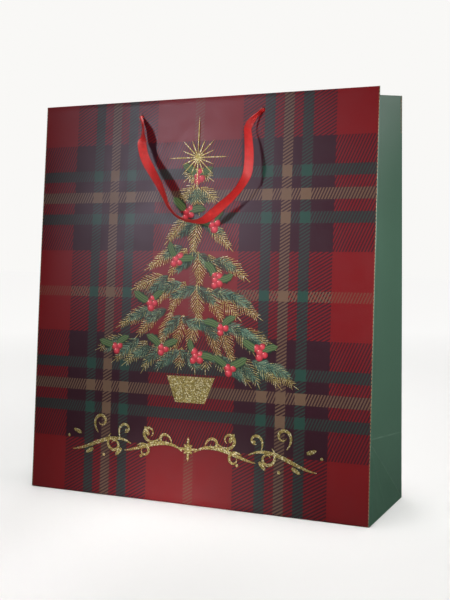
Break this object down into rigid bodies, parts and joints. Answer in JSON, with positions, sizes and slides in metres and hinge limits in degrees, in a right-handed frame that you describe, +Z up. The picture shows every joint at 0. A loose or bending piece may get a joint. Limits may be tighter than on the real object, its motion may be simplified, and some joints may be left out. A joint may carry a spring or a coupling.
{
  "type": "gift bag",
  "caption": "Block-bottom laminated paper gift bag with folded-in sides, turned-in reinforced top edge and hanging ribbon handles.",
  "frame": {"origin": "centre of the base rectangle, on the surface that the bag stands on", "axes": "+Z up, the front panel faces -Y, +X to the right as the front is looked at"},
  "size_m": [0.4, 0.1435, 0.438],
  "materials": {
    "printed_paper": "satin film over print",
    "green_paper": "satin film over print",
    "white_paper": "uncoated",
    "board": "grey board",
    "ribbon": "satin"
  },
  "bodies": {
    "bag_base": {"bottom_flap_rear": "printed_paper", "bottom_flap_front": "printed_paper", "bottom_flap_left": "white_paper", "bottom_flap_right": "white_paper", "base_board": "board", "left_gusset_front": "green_paper", "left_gusset_rear": "green_paper", "right_gusset_front": "green_paper", "right_gusset_rear": "green_paper", "left_turn_in_front": "green_paper", "left_turn_in_rear": "green_paper", "right_turn_in_front": "green_paper", "right_turn_in_rear": "green_paper"},
    "front_wall": {"front_panel": "printed_paper", "front_cuff_board": "board", "front_cuff_turn_in": "printed_paper", "front_seam_flap": "white_paper", "front_left_knot": "ribbon", "front_right_knot": "ribbon"},
    "back_wall": {"back_panel": "printed_paper", "back_cuff_board": "board", "back_cuff_turn_in": "printed_paper", "back_seam_flap": "white_paper", "back_left_knot": "ribbon", "back_right_knot": "ribbon"},
    "front_handle": {"front_ribbon": "ribbon"},
    "rear_handle": {"back_ribbon": "ribbon"}
  },
  "joints": [
    {"name": "front_panel_pinch", "type": "hinge", "parent": "bag_base", "child": "front_wall", "pos_m": [0, -0.0635, 0], "axis": [-1, 0, 0], "range_deg": [-4.5, 2.2], "deforming": ["left_gusset_front", "right_gusset_front", "left_turn_in_front", "right_turn_in_front"]},
    {"name": "back_panel_pinch", "type": "hinge", "parent": "bag_base", "child": "back_wall", "pos_m": [0, 0.0635, 0], "axis": [1, 0, 0], "range_deg": [-0.6, 3.4], "deforming": ["left_gusset_rear", "right_gusset_rear", "left_turn_in_rear", "right_turn_in_rear"]},
    {"name": "front_handle_swing", "type": "hinge", "parent": "front_wall", "child": "front_handle", "pos_m": [0, -0.03188, 0.41886], "axis": [-1, 0, 0], "range_deg": [0, 135]},
    {"name": "rear_handle_swing", "type": "hinge", "parent": "back_wall", "child": "rear_handle", "pos_m": [0, 0.0608, 0.42], "axis": [1, 0, 0], "range_deg": [0, 135]}
  ]
}
